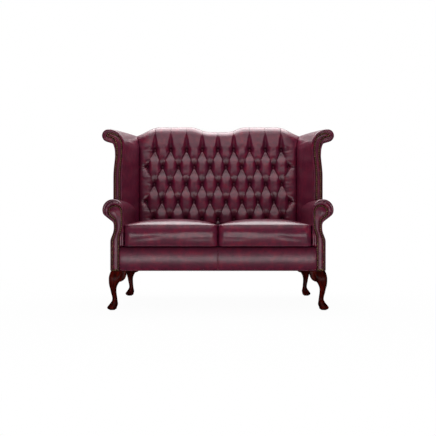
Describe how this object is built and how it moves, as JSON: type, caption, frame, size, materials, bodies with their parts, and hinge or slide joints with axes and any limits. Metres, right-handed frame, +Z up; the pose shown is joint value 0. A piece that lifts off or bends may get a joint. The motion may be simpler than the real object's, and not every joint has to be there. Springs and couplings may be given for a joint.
{
  "type": "two-seater wing sofa",
  "caption": "High-back wing sofa for two with a deep-buttoned back, scroll arms, studded facings, loose seat cushions and cabriole legs.",
  "frame": {"origin": "on the floor, under the middle of the sofa's bounding box", "axes": "+X to the right as seen from the front, +Y from the front to the back, +Z up"},
  "size_m": [1.4, 0.85, 1.135],
  "materials": {
    "leather": "aniline antique burgundy leather, satin with a soft sheen",
    "mahogany": "dark red mahogany under gloss lacquer",
    "timber": "planed hardwood, bare",
    "brass": "antique brass, darkened",
    "steel": "zinc-plated",
    "foam": "cut foam",
    "lining": "black woven lining",
    "webbing": "woven jute",
    "glide": "moulded nylon"
  },
  "bodies": {
    "frame": {"leg_front_left": "mahogany", "leg_front_right": "mahogany", "leg_rear_left": "mahogany", "leg_rear_right": "mahogany", "knee_blocks": "mahogany", "leg_glides": "glide", "leg_bolts": "steel", "leg_nuts": "steel", "front_rail": "timber", "rear_rail": "timber", "side_rail_left": "timber", "side_rail_right": "timber", "centre_bearer": "timber", "corner_blocks": "timber", "seat_springs": "steel", "spring_clips": "steel", "seat_platform": "lining", "dust_cover": "lining", "front_border": "leather", "front_piping": "leather", "arm_post_left": "timber", "arm_post_right": "timber", "arm_rail_left": "timber", "arm_rail_right": "timber", "arm_pad_left": "leather", "arm_pad_right": "leather", "arm_facing_left": "leather", "arm_facing_right": "leather", "arm_nails_left": "brass", "arm_nails_right": "brass", "outside_arm_left": "leather", "outside_arm_right": "leather", "wing_post_left": "timber", "wing_post_right": "timber", "wing_rail_left": "timber", "wing_rail_right": "timber", "wing_pad_left": "leather", "wing_pad_right": "leather", "wing_facing_left": "leather", "wing_facing_right": "leather", "wing_nails_left": "brass", "wing_nails_right": "brass", "outside_wing_left": "leather", "outside_wing_right": "leather", "back_post_left": "timber", "back_post_right": "timber", "back_top_rail": "timber", "back_bottom_rail": "timber", "back_upright": "timber", "back_webbing": "webbing", "inside_back": "leather", "back_buttons": "leather", "outside_back": "leather"},
    "cushion_left": {"cushion_cover_left": "leather", "cushion_core_left": "foam", "cushion_zip_left": "lining"},
    "cushion_right": {"cushion_cover_right": "leather", "cushion_core_right": "foam", "cushion_zip_right": "lining"}
  },
  "joints": [
    {"name": "cushion_left_lift", "type": "slide", "parent": "frame", "child": "cushion_left", "axis": [0, 0, 1], "range_m": [0, 0.3]},
    {"name": "cushion_right_lift", "type": "slide", "parent": "frame", "child": "cushion_right", "axis": [0, 0, 1], "range_m": [0, 0.3]}
  ]
}
